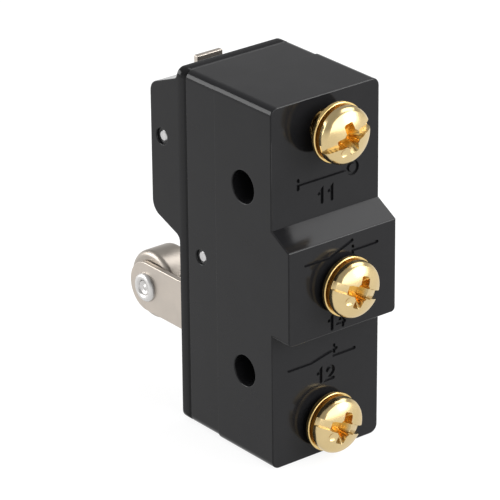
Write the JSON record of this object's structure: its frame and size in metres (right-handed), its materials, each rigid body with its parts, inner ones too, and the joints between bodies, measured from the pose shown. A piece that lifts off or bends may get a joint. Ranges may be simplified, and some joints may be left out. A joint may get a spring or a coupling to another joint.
{
  "type": "lever micro switch",
  "caption": "Snap-action switch in a black moulded case, worked by a hinged sheet lever with a metal roller, with screw terminals and through holes for mounting.",
  "frame": {"origin": "on the axis of the lower mounting hole, at the middle of the case's width", "axes": "+X towards the terminals, +Y across the width, +Z along the case towards the common terminal"},
  "size_m": [0.0456, 0.0174, 0.0496],
  "materials": {
    "moulding": "glossy black phenolic moulding",
    "plunger_moulding": "dark red moulding",
    "steel": "bright pin ends",
    "nickel_sheet": "nickel plated, satin",
    "spring_metal": "bare copper alloy leaf",
    "strap_metal": "bare brass strip",
    "screw_metal": "yellow plated, satin",
    "silver": "silver contact faces"
  },
  "bodies": {
    "case": {"case": "moulding", "cover": "moulding", "cover_pin": "steel", "hinge_pin": "steel", "snap_spring": "spring_metal", "spring_anchor": "strap_metal", "anchor_rivet": "strap_metal", "common_terminal": "strap_metal", "open_terminal": "strap_metal", "closed_terminal": "strap_metal", "common_bush": "screw_metal", "open_bush": "screw_metal", "closed_bush": "screw_metal", "open_contact": "silver", "closed_contact": "silver"},
    "lever": {"lever": "nickel_sheet", "roller_rivet": "nickel_sheet"},
    "roller": {"roller": "nickel_sheet"},
    "plunger": {"plunger": "plunger_moulding"},
    "moving_contact": {"moving_contact": "silver"},
    "common_washers": {"common_flat_washer": "screw_metal", "common_spring_washer": "screw_metal"},
    "common_screw": {"common_screw": "screw_metal"},
    "open_washers": {"open_flat_washer": "screw_metal", "open_spring_washer": "screw_metal"},
    "open_screw": {"open_screw": "screw_metal"},
    "closed_washers": {"closed_flat_washer": "screw_metal", "closed_spring_washer": "screw_metal"},
    "closed_screw": {"closed_screw": "screw_metal"}
  },
  "joints": [
    {"name": "lever_hinge", "type": "hinge", "parent": "case", "child": "lever", "pos_m": [-0.01673, 0, 0.0269], "axis": [0, -1, 0], "range_deg": [0, 7], "stiffness_Nm_per_rad": 0.25, "springref_deg": -3.44},
    {"name": "roller_spin", "type": "hinge", "parent": "lever", "child": "roller", "pos_m": [-0.0279, 0, 0.00025], "axis": [0, 1, 0], "continuous": true},
    {"name": "plunger_slide", "type": "slide", "parent": "case", "child": "plunger", "axis": [1, 0, 0], "range_m": [0, 0.0013]},
    {"name": "contact_swing", "type": "hinge", "parent": "case", "child": "moving_contact", "pos_m": [-0.0072, 0, 0.0305], "axis": [0, -1, 0], "range_deg": [0, 0.88], "deforming": ["snap_spring"]},
    {"name": "common_screw_advance", "type": "slide", "parent": "case", "child": "common_washers", "axis": [1, 0, 0], "range_m": [-0.0021, 0.0014]},
    {"name": "common_screw_turn", "type": "hinge", "parent": "common_washers", "child": "common_screw", "pos_m": [0.0077, 0, 0.033], "axis": [1, 0, 0], "range_deg": [-1083, 723]},
    {"name": "open_screw_advance", "type": "slide", "parent": "case", "child": "open_washers", "axis": [1, 0, 0], "range_m": [-0.0007, 0.0028]},
    {"name": "open_screw_turn", "type": "hinge", "parent": "open_washers", "child": "open_screw", "pos_m": [0.0097, 0, 0.01285], "axis": [1, 0, 0], "range_deg": [-363, 1443]},
    {"name": "closed_screw_advance", "type": "slide", "parent": "case", "child": "closed_washers", "axis": [1, 0, 0], "range_m": [-0.00085, 0.00265]},
    {"name": "closed_screw_turn", "type": "hinge", "parent": "closed_washers", "child": "closed_screw", "pos_m": [0.00645, 0, -0.00735], "axis": [1, 0, 0], "range_deg": [-440.1, 1365.9]}
  ],
  "couplings": [
    {"joint": "plunger_slide", "follows": "lever_hinge", "m_per_rad": 0.0105},
    {"joint": "contact_swing", "follows": "lever_hinge", "ratio": 0.12},
    {"joint": "common_screw_turn", "follows": "common_screw_advance", "rad_per_m": 8976},
    {"joint": "open_screw_turn", "follows": "open_screw_advance", "rad_per_m": 8976},
    {"joint": "closed_screw_turn", "follows": "closed_screw_advance", "rad_per_m": 8976}
  ]
}
